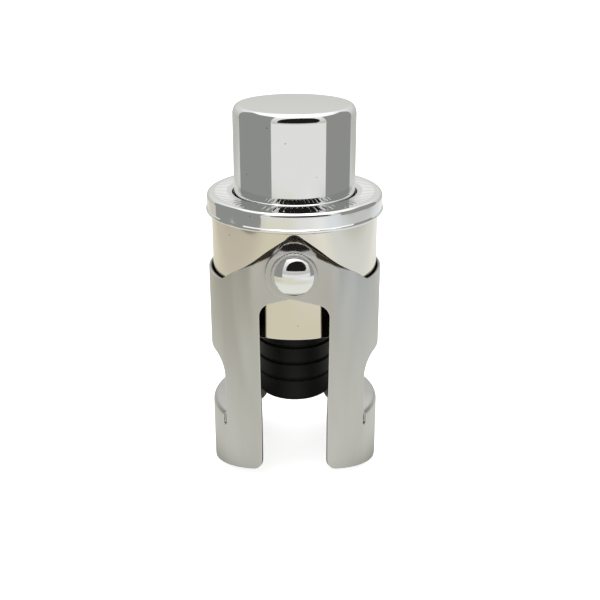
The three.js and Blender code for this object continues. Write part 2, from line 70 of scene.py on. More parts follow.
def rounded(corners, steps=8, support=0.00006):
    """Outline of sharp corners (x, y, radius), in metres.

    Each corner with a radius becomes an arc that touches both of its edges, with one more point
    just before and after it, so that the flats beside a small round stay flat when shaded.
    """
    corners = [(*corner, 0.0)[:3] for corner in corners]
    outline = []
    befores, afters = corners[-1:] + corners[:-1], corners[1:] + corners[:1]
    for before, (x, y, radius), after in zip(befores, corners, afters):
        corner = np.array([x, y])
        if radius == 0:
            outline.append(corner[None])
            continue
        back = np.array(before[:2]) - corner
        ahead = np.array(after[:2]) - corner
        back, ahead = back / np.hypot(*back), ahead / np.hypot(*ahead)
        half = math.acos(np.clip(back @ ahead, -1, 1)) / 2
        reach = radius / math.tan(half)
        middle = corner + (back + ahead) / np.hypot(*(back + ahead)) * radius / math.sin(half)
        first, last = corner + back * reach - middle, corner + ahead * reach - middle
        turn = math.atan2(first[0] * last[1] - first[1] * last[0], first @ last)
        angle = math.atan2(first[1], first[0]) + turn * np.linspace(0, 1, steps + 1)
        arc = middle + radius * np.stack([np.cos(angle), np.sin(angle)], axis=1)
        outline += [[corner + back * (reach + support)], arc, [corner + ahead * (reach + support)]]
    return np.concatenate(outline)


def revolve(profile, steps=192):
    """Grid of points (i, j): profile point j, as [distance from the axis, height], at angle i about +Z."""
    angle = np.linspace(0, 2 * np.pi, steps, endpoint=False)
    radius, height = profile.T
    return np.stack([
        np.outer(np.cos(angle), radius),
        np.outer(np.sin(angle), radius),
        np.tile(height, (steps, 1)),
    ], axis=-1)


def grid_faces(rows, columns, closed=True):
    """Corners of the quads between neighbours on a grid. Its rows close on themselves, and its columns
    too if closed."""
    i, j = np.meshgrid(np.arange(rows), np.arange(columns if closed else columns - 1), indexing="ij")
    i, j = i.ravel(), j.ravel()
    next_i, next_j = (i + 1) % rows, (j + 1) % columns
    row, next_row = i * columns, next_i * columns
    return np.stack([row + j, next_row + j, next_row + next_j, row + next_j], axis=1)


def new_piece(name, points, faces, crease=32):
    """Object whose mesh has the points and faces of two arrays. Points that lie on each other, as at
    a pole, are merged, and edges sharper than the crease angle stay crisp."""
    mesh = bpy.data.meshes.new(name)
    mesh.from_pydata(points.reshape(-1, 3).tolist(), [], faces.tolist())
    shell = bmesh.new()
    shell.from_mesh(mesh)
    bmesh.ops.remove_doubles(shell, verts=shell.verts, dist=1e-7)
    bmesh.ops.dissolve_degenerate(shell, edges=shell.edges, dist=1e-8)
    shell.to_mesh(mesh)
    shell.free()
    mesh.shade_smooth()
    mesh.set_sharp_from_angle(angle=math.radians(crease))
    piece = bpy.data.objects.new(name, mesh)
    bpy.context.scene.collection.objects.link(piece)
    return piece


def turned(name, profile, steps=192, closed=True):
    """Solid of revolution. A closed profile is a ring; an open one starts and ends on the axis."""
    grid = revolve(profile, steps)
    return new_piece(name, grid, grid_faces(*grid.shape[:2], closed))


def marks_group():
    """Node group of the small irregularities that a surface shows, as three masks from 0 to 1.

    Cloud is a slow mottle, Grain a fine streak or texture, and Speck marks a few scattered points.
    """
    group = bpy.data.node_groups.new("surface_marks", "ShaderNodeTree")
    face = group.interface
    face.new_socket("Vector", in_out="INPUT", socket_type="NodeSocketVector")
    sizes = (("Cloud Scale", 90.0), ("Grain Scale", 900.0), ("Speck Scale", 350.0), ("Speck Size", 0.05))
    for name, value in sizes:
        face.new_socket(name, in_out="INPUT", socket_type="NodeSocketFloat").default_value = value
    for name in ("Cloud", "Grain", "Speck"):
        face.new_socket(name, in_out="OUTPUT", socket_type="NodeSocketFloat")
    nodes, links = group.nodes, group.links
    enter, leave = nodes.new("NodeGroupInput"), nodes.new("NodeGroupOutput")
    for name, detail in (("Cloud", 3.0), ("Grain", 5.0)):
        noise = nodes.new("ShaderNodeTexNoise")
        noise.inputs["Detail"].default_value = detail
        links.new(enter.outputs["Vector"], noise.inputs["Vector"])
        links.new(enter.outputs[f"{name} Scale"], noise.inputs["Scale"])
        links.new(noise.outputs["Fac"], leave.inputs[name])
    cells = nodes.new("ShaderNodeTexVoronoi")
    links.new(enter.outputs["Vector"], cells.inputs["Vector"])
    links.new(enter.outputs["Speck Scale"], cells.inputs["Scale"])
    inside = nodes.new("ShaderNodeMath")
    inside.operation = "LESS_THAN"
    links.new(cells.outputs["Distance"], inside.inputs[0])
    links.new(enter.outputs["Speck Size"], inside.inputs[1])
    links.new(inside.outputs[0], leave.inputs["Speck"])
    return group


surface_marks = marks_group()


def finish_with_marks(name, colour, metallic, stretch=(1, 1, 1), uv=None, **scales):
    """Material with the marks group in it, returned with its tree, its shader and the group's node."""
    material = bpy.data.materials.new(name)
    material.use_nodes = True
    tree = material.node_tree
    shader = tree.nodes["Principled BSDF"]
    shader.inputs["Base Color"].default_value = (*colour, 1)
    shader.inputs["Metallic"].default_value = metallic
    where = tree.nodes.new("ShaderNodeTexCoord") if uv is None else tree.nodes.new("ShaderNodeUVMap")
    if uv is not None:
        where.uv_map = uv
    mapping = tree.nodes.new("ShaderNodeMapping")
    mapping.inputs["Scale"].default_value = stretch
    tree.links.new(where.outputs["Object" if uv is None else "UV"], mapping.inputs["Vector"])
    marks = tree.nodes.new("ShaderNodeGroup")
    marks.node_tree = surface_marks
    for scale, value in scales.items():
        marks.inputs[scale.replace("_", " ").title()].default_value = value
    tree.links.new(mapping.outputs["Vector"], marks.inputs["Vector"])
    return material, tree, shader, marks


def spread(tree, source, low, high, target):
    """Maps a mask from 0 to 1 onto the span from low to high and feeds the target with it."""
    span = tree.nodes.new("ShaderNodeMapRange")
    span.inputs["To Min"].default_value = low
    span.inputs["To Max"].default_value = high
    tree.links.new(source, span.inputs["Value"])
    tree.links.new(span.outputs["Result"], target)
    return span


def tint(tree, source, first, second, target, low=0.0, high=1.0):
    """Mixes two colours by a mask whose span from low to high is stretched to 0 to 1."""
    ramp = tree.nodes.new("ShaderNodeValToRGB")
    ramp.color_ramp.elements[0].position, ramp.color_ramp.elements[0].color = low, (*first, 1)
    ramp.color_ramp.elements[1].position, ramp.color_ramp.elements[1].color = high, (*second, 1)
    tree.links.new(source, ramp.inputs["Fac"])
    tree.links.new(ramp.outputs["Color"], target)
    return ramp


def relief(tree, source, shader, depth, strength=1.0, under=None):
    """Bump of that depth in metres from a mask, over an earlier bump if there is one."""
    bump = tree.nodes.new("ShaderNodeBump")
    bump.inputs["Distance"].default_value = depth
    bump.inputs["Strength"].default_value = strength
    tree.links.new(source, bump.inputs["Height"])
    if under is not None:
        tree.links.new(under.outputs["Normal"], bump.inputs["Normal"])
    tree.links.new(bump.outputs["Normal"], shader.inputs["Normal"])
    return bump


def plated(name, colour, ripple):
    """Bright plating: a mirror with a slight ripple, a breath of haze and a few pin marks."""
    material, tree, shader, marks = finish_with_marks(
        name, colour, 1.0, cloud_scale=55.0, grain_scale=420.0, speck_scale=260.0, speck_size=0.045)
    dim = tuple(0.55 * c for c in colour)
    tint(tree, marks.outputs["Speck"], colour, dim, shader.inputs["Base Color"])
    spread(tree, marks.outputs["Grain"], 0.02, 0.075, shader.inputs["Roughness"])
    relief(tree, marks.outputs["Cloud"], shader, ripple)
    return material


nickel_plate = plated("nickel_plate", nickel, 0.00006)
tube = turned("tube", rounded([
    (tube_bore, tube_low.z, tube_rim_round),
    (tube_radius, tube_low.z, tube_rim_round),
    (tube_radius, tube_high.z),
    (tube_bore, tube_high.z),
    (tube_bore, ledge_top),
    (tube_bore - ledge_width, ledge_top),
    (tube_bore - ledge_width, ledge_bottom),
    (tube_bore, ledge_bottom),
    (tube_bore, groove_top),
    (tube_bore + groove_depth, groove_top),
    (tube_bore + groove_depth, groove_bottom),
    (tube_bore, groove_bottom),
]))
tube.data.materials.append(nickel_plate)
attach(tube, "head")
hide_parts("body_shell")


# Pieces inside the head
# Moulded base plate, stem, barrel, guide, piston and cap insert, with a steel rod, snap ring and
# ball, and rubber seals. They keep their solids and get the finish of what they are. The two springs
# are coils of wire in place of their solids.
def moulded(name, colour):
    """Satin moulded plastic: a soft mottle and the fine texture of the mould."""
    material, tree, shader, marks = finish_with_marks(
        name, colour, 0.0, cloud_scale=120.0, grain_scale=3000.0, speck_size=0.0)
    warm = (colour[0], colour[1] * 0.985, colour[2] * 0.95)
    tint(tree, marks.outputs["Cloud"], colour, warm, shader.inputs["Base Color"], 0.35, 0.65)
    spread(tree, marks.outputs["Grain"], 0.38, 0.55, shader.inputs["Roughness"])
    relief(tree, marks.outputs["Grain"], shader, 0.000012)
    return material


def rubber_like(name, colour, roughness):
    """Black rubber: matt, with the grain of its mould and a little pale dust."""
    material, tree, shader, marks = finish_with_marks(
        name, colour, 0.0, cloud_scale=160.0, grain_scale=2600.0, speck_scale=900.0, speck_size=0.09)
    dust = tuple(c + 0.012 for c in colour)
    tint(tree, marks.outputs["Speck"], colour, dust, shader.inputs["Base Color"])
    spread(tree, marks.outputs["Cloud"], roughness - 0.08, roughness + 0.08, shader.inputs["Roughness"])
    relief(tree, marks.outputs["Grain"], shader, 0.00002)
    shader.inputs["Specular IOR Level"].default_value = 0.25
    return material


def drawn_steel(name, colour):
    """Bright steel wire and turned steel: fine streaks along the draw."""
    material, tree, shader, marks = finish_with_marks(
        name, colour, 1.0, stretch=(1, 1, 0.15), cloud_scale=300.0, grain_scale=4000.0, speck_size=0.0)
    tint(tree, marks.outputs["Cloud"], colour, tuple(0.85 * c for c in colour), shader.inputs["Base Color"])
    spread(tree, marks.outputs["Grain"], 0.2, 0.38, shader.inputs["Roughness"])
    return material


moulded_white = moulded("moulded_white", (0.72, 0.71, 0.67))
black_rubber = rubber_like("black_rubber", (0.0055, 0.0055, 0.005), 0.6)
spring_steel = drawn_steel("spring_steel", (0.45, 0.45, 0.44))
inner_finishes = {
    moulded_white: ("base_plate", "plug_core", "pump_barrel", "barrel_guide", "piston", "cap_insert"),
    spring_steel: ("base_snap_ring", "check_ball", "piston_rod", "front_tail_washer", "back_tail_washer"),
    black_rubber: ("valve_seat", "piston_seal"),
}
for material, names in inner_finishes.items():
    for name in names:
        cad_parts[name].data.materials.clear()
        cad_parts[name].data.materials.append(material)


coil_steps, wire_sides = 40, 12


def coil(node, turns, wire):
    """Coil spring in place of a CAD node, which stands on its seat.

    Along the helix the wire's round section is spanned by the direction away from the axis and the one
    square to both that and the wire. At both ends the section shrinks to a point.
    """
    low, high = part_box(node)
    radius = high.x - wire / 2
    rise = (high.z - low.z - wire) / (2 * np.pi * turns)
    slant = math.hypot(radius, rise)
    turn = np.linspace(0, 2 * np.pi * turns, turns * coil_steps + 1)
    turn = np.concatenate([turn[:1], turn, turn[-1:]])
    size = np.full(len(turn), wire / 2)
    size[[0, -1]] = 0
    around = np.linspace(0, 2 * np.pi, wire_sides, endpoint=False)[:, None]
    away, across = size * np.cos(around), size * np.sin(around)
    grid = np.stack([
        (radius + away) * np.cos(turn) + across * np.sin(turn) * rise / slant,
        (radius + away) * np.sin(turn) - across * np.cos(turn) * rise / slant,
        low.z + wire / 2 + rise * turn + across * radius / slant], axis=-1)
    spring = new_piece(f"{node}_coil", grid, grid_faces(*grid.shape[:2], closed=False))
    spring.data.materials.append(spring_steel)
    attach(spring, "head")
    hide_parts(node)
    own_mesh(spring)


coil("return_spring", turns=7, wire=0.0009)
coil("check_spring", turns=4, wire=0.00036)


# Ring on top of the tube
# A chromed ring pressed into the tube's mouth: a rounded top edge, a bead at the foot of its band,
# and a milled circle of short radial ribs round the hole for the cap.
ring_low, ring_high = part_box("flange_ring")
ring_radius = ring_high.x
ring_foot = tube_high.z + 0.00005
ring_waist = 0.00025
bead_height, bead_round = 0.00065, 0.0003
ring_round = 0.0009
ring_hole = 0.01375
hole_round = 0.0005
ring_plate = 0.0026
spigot_radius, spigot_inner = tube_bore - 0.0003, tube_bore - 0.0013
rib_count = 84
rib_height = 0.00009
rib_inner, rib_outer = 0.01475, 0.01795
rib_half_width, rib_fade, rib_margin = 0.30, 0.0003, 0.0002
rib_rows, rib_steps = 22, 14
chrome = (0.84, 0.845, 0.84)


def ribbed(grid, top, count, height, inner, outer):
    """Raises the flat top between two radii into ribs, all alike: a rounded wave round the axis that
    fades out towards both radii."""
    x, y, z = np.moveaxis(grid, -1, 0)
    radius, turn = np.hypot(x, y), np.arctan2(y, x) * count / (2 * np.pi)
    phase = turn - np.floor(turn)
    wave = np.clip(1.0 - np.abs(phase - 0.5) / rib_half_width, 0, 1)
    wave = wave * wave * (3 - 2 * wave)
    fade = np.clip((radius - inner) / rib_fade, 0, 1) * np.clip((outer - radius) / rib_fade, 0, 1)
    raised = np.where(np.abs(z - top) < 1e-6, z + height * wave * fade, z)
    return np.stack([x, y, raised], axis=-1)


chrome_plate = plated("chrome_plate", chrome, 0.00005)
band = ring_radius - ring_waist
ring_profile = rounded([
    (spigot_radius, ring_foot),
    (ring_radius, ring_foot, bead_round),
    (ring_radius, ring_foot + bead_height, ring_waist),
    (band, ring_foot + bead_height + ring_waist),
    (band, ring_high.z, ring_round),
    (ring_hole, ring_high.z, hole_round),
    (ring_hole, ring_high.z - ring_plate),
    (spigot_inner, ring_high.z - ring_plate),
    (spigot_inner, ring_low.z),
    (spigot_radius, ring_low.z),
])
flat_from = np.flatnonzero(np.abs(ring_profile[:, 1] - ring_high.z) < 1e-9)
outer_flat = flat_from[ring_profile[flat_from, 0] > (rib_inner + rib_outer) / 2][-1]
rib_radii = np.linspace(rib_outer + rib_margin, rib_inner - rib_margin, rib_rows)
rib_row = np.stack([rib_radii, np.full(rib_rows, ring_high.z)], axis=1)
ring_profile = np.insert(ring_profile, outer_flat + 1, rib_row, axis=0)
ring_grid = ribbed(
    revolve(ring_profile, rib_count * rib_steps), ring_high.z, rib_count, rib_height, rib_inner, rib_outer)
ring = new_piece("ring", ring_grid, grid_faces(*ring_grid.shape[:2]))
ring.data.materials.append(chrome_plate)
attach(ring, "head")
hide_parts("flange_ring")


# Cap
# A deep drawn cup, chromed, that is pushed down to work the pump. A lip at its foot stops it under
# the ring, and its top is very slightly domed.
cap_low, cap_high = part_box("pump_cap")
cap_radius = 0.0134
cap_wall, cap_top_wall = 0.0008, 0.0010
cap_round, cap_round_height = 0.0014, 0.0022
lip_top, lip_round = cap_low.z + 0.0015, 0.0002
top_sag, crown_rows, crown_margin, crown_depth = 0.00012, 12, 0.0003, 0.0001


def arc(x, y, radius, start, end, steps):
    """Points on a circle from one angle to another."""
    angle = np.linspace(start, end, steps + 1)
    return np.stack([x + radius * np.cos(angle), y + radius * np.sin(angle)], axis=1)


cap_bore = cap_radius - cap_wall
shoulder = arc(0, 0, 1, 0, np.pi / 2, 20) * (cap_round, cap_round_height)
shoulder += (cap_radius - cap_round, cap_high.z - cap_round_height)
ceiling = cap_high.z - cap_top_wall
cap_profile = rounded([
    (cap_bore, cap_low.z),
    (cap_high.x, cap_low.z, lip_round),
    (cap_high.x, lip_top, lip_round),
    (cap_radius, lip_top),
    *shoulder,
    (0.0, cap_high.z),
    (0.0, ceiling),
    (cap_bore, ceiling, cap_round - cap_wall),
], steps=12)
start = np.flatnonzero((cap_profile[:, 0] == 0) & (np.abs(cap_profile[:, 1] - ceiling) < 1e-9))[0]
cap_profile = np.roll(cap_profile, -start, axis=0)
crown_radii = np.linspace(cap_radius - cap_round - crown_margin, 0, crown_rows)
crown_row = np.stack([crown_radii, np.full(crown_rows, cap_high.z)], axis=1)
cap_profile = np.concatenate([cap_profile[:-1], crown_row])
crown = np.abs(cap_profile[:, 1] - cap_high.z) < crown_depth
cap_profile[:, 1] -= np.where(crown, top_sag * (cap_profile[:, 0] / cap_radius) ** 2, 0)
cap = turned("cap", cap_profile, closed=False)
cap.data.materials.append(chrome_plate)
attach(cap, "push_cap")
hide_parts("pump_cap")


# Rubber plug and mouth gasket
# The plug is a black rubber sleeve on the stem, grooved between its ribs, with a small mouth for
# the air. The gasket is a flat rubber ring that lies on the bottle's rim.
plug_low, plug_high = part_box("rubber_plug")
plug_radius = plug_high.x
plug_mouth, mouth_round = 0.0024, 0.0003
plug_tip_round, plug_tip_wall = 0.0016, 0.0009
plug_bore, plug_pocket = 0.0048, 0.0067
pocket_height = 0.0020
pocket_top = plug_low.z + plug_tip_wall + pocket_height
first_groove, groove_pitch, groove_count = 0.0057, 0.0041, 3
groove_heights = plug_low.z + first_groove + groove_pitch * np.arange(groove_count)
rib_groove_width, rib_groove_depth, rib_lip_round = 0.0009, 0.00055, 0.0002

plug_corners = [(plug_mouth, plug_low.z, mouth_round), (plug_radius, plug_low.z, plug_tip_round)]
for height in groove_heights:
    plug_corners += [
        (plug_radius, height - rib_groove_width / 2, rib_lip_round),
        (plug_radius - rib_groove_depth, height, rib_lip_round),
        (plug_radius, height + rib_groove_width / 2, rib_lip_round),
    ]
plug_corners += [
    (plug_radius, plug_high.z), (plug_bore, plug_high.z), (plug_bore, pocket_top),
    (plug_pocket, pocket_top), (plug_pocket, plug_low.z + plug_tip_wall),
    (plug_mouth, plug_low.z + plug_tip_wall),
]
plug = turned("plug", rounded(plug_corners))
plug.data.materials.append(black_rubber)
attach(plug, "head")
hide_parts("rubber_plug")

gasket_low, gasket_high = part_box("mouth_gasket")
gasket_gap, gasket_round = 0.0003, 0.0002
gasket_inner = plug_radius + gasket_gap
gasket = turned("gasket", rounded([
    (gasket_inner, gasket_low.z, gasket_round),
    (gasket_high.x, gasket_low.z, gasket_round),
    (gasket_high.x, gasket_high.z, gasket_round),
    (gasket_inner, gasket_high.z, gasket_round),
]))
gasket.data.materials.append(black_rubber)
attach(gasket, "head")
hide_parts("mouth_gasket")


# Arms
# Two equal pieces of stainless sheet, blanked flat, rolled round the tube, with ears pressed flat
# round the rivets and a tab folded in under each window to hook under the bottle's collar.
sheet = 0.0007
sheet_edge = 0.00012
ear_inner, ear_outer = 0.0188, 0.01975
pivot_height = 0.05275
ear_radius, arch_radius, arch_rise = 0.0060, 0.00495, 0.00185
ear_flat_margin, ear_blend = 0.0015, 0.0075
ear_rise_share, ear_fall_share = 0.5, 0.35
apex_over, apex_round, top_slope = 0.0021, 0.0026, 0.68
# Line above which the top edge carries painted shade: its height over the pivot and its fall.
shade_rise, shade_slope = 0.00585, 0.475
shoulder_drop, shoulder_round = 0.00445, 0.0050
slot_half_width, slot_corner, slot_vee, ear_bite = 0.00745, 0.0029, 0.24, 0.00037
tip_flat, tip_slope, tip_corner = 0.0045, 0.26, 0.003
window_half_width, window_top, window_corner = 0.0120, 0.0295, 0.0045
hook_height, hook_reach, hook_bend, hook_corner = 0.0142, 0.00305, 0.0008, 0.0010
hook_rise_share = 20 / 90
relief_width, relief_depth, relief_round_share = 0.0012, 0.0019, 0.49
rivet_hole = 0.00215
bevel_width, bevel_power, bevel_fade, bevel_crown = 0.00175, 1.2, 0.0014, 2
bevel_thins, bevel_leans = 0.0005, 0.00022
bevel_from, bevel_full = 0.0029, 0.0050
# Painted shade on the sheet: on the inner face it starts at the first height and is full at the second;
# along the top edge it has a soft border and ends this far from a pivot.
inner_shade_from, inner_shade_full = 0.0300, 0.0345
shade_soft = 0.0002
shade_reach = 0.0125
arm_crease = 50

neutral = ear_inner + sheet / 2
quarter = neutral * np.pi / 2
hook_fold = (1 - hook_rise_share) * np.pi / 2
hook_straight = (hook_reach - hook_bend * (1 - math.cos(hook_fold))) / math.sin(hook_fold)
hook_top = hook_height + hook_bend * hook_fold + hook_straight
hook_half_width = window_half_width - relief_width


def ear_edge():
    """One half of the blank's edge, as corners of distance from the pivot, height and radius."""
    slot_top = pivot_height - ear_radius + ear_bite
    level = slot_top - pivot_height
    k = slot_vee
    inner_root = math.sqrt((level * k) ** 2 - (1 + k * k) * (level ** 2 - ear_radius ** 2))
    far = (level * k - inner_root) / (1 + k * k)
    slant = math.hypot(1, top_slope)
    peak = pivot_height + ear_radius + apex_over
    apex = peak - apex_round * slant
    lean = math.asin((ear_radius - apex_round) / (apex - pivot_height))
    shoulder = pivot_height - shoulder_drop
    foot = math.atan2(level - k * far, far) + 2 * np.pi
    ear = arc(0, pivot_height, ear_radius, foot, np.pi - lean, 40)
    tip = arc(0, apex, apex_round, np.pi - lean, math.atan2(1, top_slope), 16)
    return [
        (quarter - tip_flat, 0.0, 0.0),
        (slot_half_width, tip_slope * (quarter - tip_flat - slot_half_width), tip_corner),
        (slot_half_width, slot_top - k * slot_half_width, slot_corner),
        *[(x, y, 0.0) for x, y in (*ear, *tip)],
        ((peak - shoulder) / top_slope, shoulder, shoulder_round),
    ]


def resampled(outline, step):
    """Closed outline with points an even step apart along it."""
    loop = np.concatenate([outline, outline[:1]])
    along = np.concatenate([[0], np.cumsum(np.hypot(*np.diff(loop, axis=0).T))])
    even = np.linspace(0, along[-1], int(along[-1] / step) + 1)[:-1]
    return np.stack([np.interp(even, along, loop[:, 0]), np.interp(even, along, loop[:, 1])], axis=1)


def blank_loops(step=0.00022):
    """Outlines of the flat blank and its holes: the outer one anticlockwise, the holes clockwise."""
    edge = ear_edge()
    right = [(quarter - x, y, r) for x, y, r in edge]
    left = [(x - quarter, y, r) for x, y, r in edge[::-1]]
    foot = hook_height - relief_depth
    end = relief_width * relief_round_share
    window = rounded([
        (-window_half_width, foot, end), (-hook_half_width, foot, end),
        (-hook_half_width, hook_top, hook_corner), (hook_half_width, hook_top, hook_corner),
        (hook_half_width, foot, end), (window_half_width, foot, end),
        (window_half_width, window_top, window_corner), (-window_half_width, window_top, window_corner),
    ], steps=16)
    bores = (arc(u, pivot_height, rivet_hole, 0, 2 * np.pi, 64)[:-1] for u in (-quarter, quarter))
    holes = [window, *bores]
    outer = rounded([*right, *left], steps=24)
    return [resampled(outer, step), *(resampled(hole, step)[::-1] for hole in holes)]


def inset(loop, depth):
    """Loop moved into the metal by a depth, along the normal of each of its points."""
    along = np.roll(loop, -1, axis=0) - np.roll(loop, 1, axis=0)
    inward = np.stack([-along[:, 1], along[:, 0]], axis=1) / np.hypot(*along.T)[:, None]
    return loop + inward * depth


def inside(points, loop):
    """True for the points that a closed loop goes round: a ray to the right crosses it an odd number
    of times."""
    x, y = points[:, :1], points[:, 1:]
    (ax, ay), (bx, by) = loop.T, np.roll(loop, -1, axis=0).T
    crosses = ((ay > y) != (by > y)) & (x < ax + (y - ay) * (bx - ax) / np.where(by == ay, 1, by - ay))
    return crosses.sum(axis=1) % 2 == 1


def pressed(u, v):
    """How far the press has driven the ear back at u round the arm and v high, and how polished it is.

    Over the ear a burnished bevel falls away, ever steeper out to an arch, and beyond the arch the
    face comes back up. Both values run from 0 to 1.
    """
    rise = v - pivot_height
    reach = np.hypot(quarter - np.abs(u), rise - arch_rise)
    crown = np.clip((rise - arch_rise) / np.maximum(reach, 1e-6), 0, 1) ** bevel_crown
    fall = np.clip((reach - arch_radius + bevel_width) / bevel_width, 0, 1)
    back = np.clip((reach - arch_radius) / bevel_fade, 0, 1)
    upper = np.clip((rise - bevel_from) / (bevel_full - bevel_from), 0, 1)
    upper = upper * upper * (3 - 2 * upper)
    return crown * upper * fall ** bevel_power * (1 - back * back * (3 - 2 * back)), \
        upper * np.clip(6 * fall * (1.2 - fall), 0, 1) * (back == 0)


def painted_shade_share(u, v, depth):
    """Share of painted shade on the sheet: on the inner face behind the tube, where the gap to the tube
    lies in shade, and outside along the top edge, above a line that falls away from over the pivot,
    except on the ear's polished arch. From 0 to 1."""
    across, rise = quarter - np.abs(u), v - pivot_height
    inside_face = np.clip((v - inner_shade_from) / (inner_shade_full - inner_shade_from), 0, 1) * (depth < sheet / 2)
    above = (rise - shade_rise + shade_slope * np.abs(across)) / shade_soft
    beyond = (np.hypot(across, rise - arch_rise) - arch_radius) / shade_soft
    near = (shade_reach - np.abs(across)) / shade_soft
    return np.maximum(inside_face, np.clip(np.minimum(np.minimum(above, beyond), near), 0, 1))


def formed(u, v, depth):
    """Bends points of the blank: u round the arm, v high, and depth into the sheet from its inner face.

    The sheet is rolled to u over the neutral radius, the hook's tab turns in over its bend, and within
    reach of a pivot the round is blended into the plane that the ear is pressed to.
    """
    bevel = pressed(u, v)[0]
    depth = depth * (1 - bevel * bevel_thins / sheet)
    angle = u / neutral
    across = quarter - np.abs(u)
    rise = v - pivot_height
    in_hook = (np.abs(u) < window_half_width) & (v > hook_height) & (v < (hook_top + window_top) / 2)
    along = np.where(in_hook, v - hook_height, 0)
    fold = np.minimum(along / hook_bend, hook_fold)
    straight = along - hook_bend * fold
    inward = hook_bend * (1 - np.cos(fold)) + straight * np.sin(fold)
    radius = ear_inner - inward + depth * np.cos(fold)
    lifted = hook_height + hook_bend * np.sin(fold) + straight * np.cos(fold) + depth * np.sin(fold)
    height = np.where(in_hook, lifted, v)
    rolled = np.stack([radius * np.cos(angle), radius * np.sin(angle), height], axis=-1)
    plane = np.where(u < 0, ear_outer, ear_inner) + depth - bevel * bevel_leans
    flat = np.stack([across, np.sign(u) * plane, height], axis=-1)
    reach = np.hypot(across, rise * np.where(rise > 0, ear_rise_share, ear_fall_share))
    t = np.clip((reach - ear_radius - ear_flat_margin) / ear_blend, 0, 1)
    share = (t * t * (3 - 2 * t))[..., None]
    return flat * (1 - share) + rolled * share


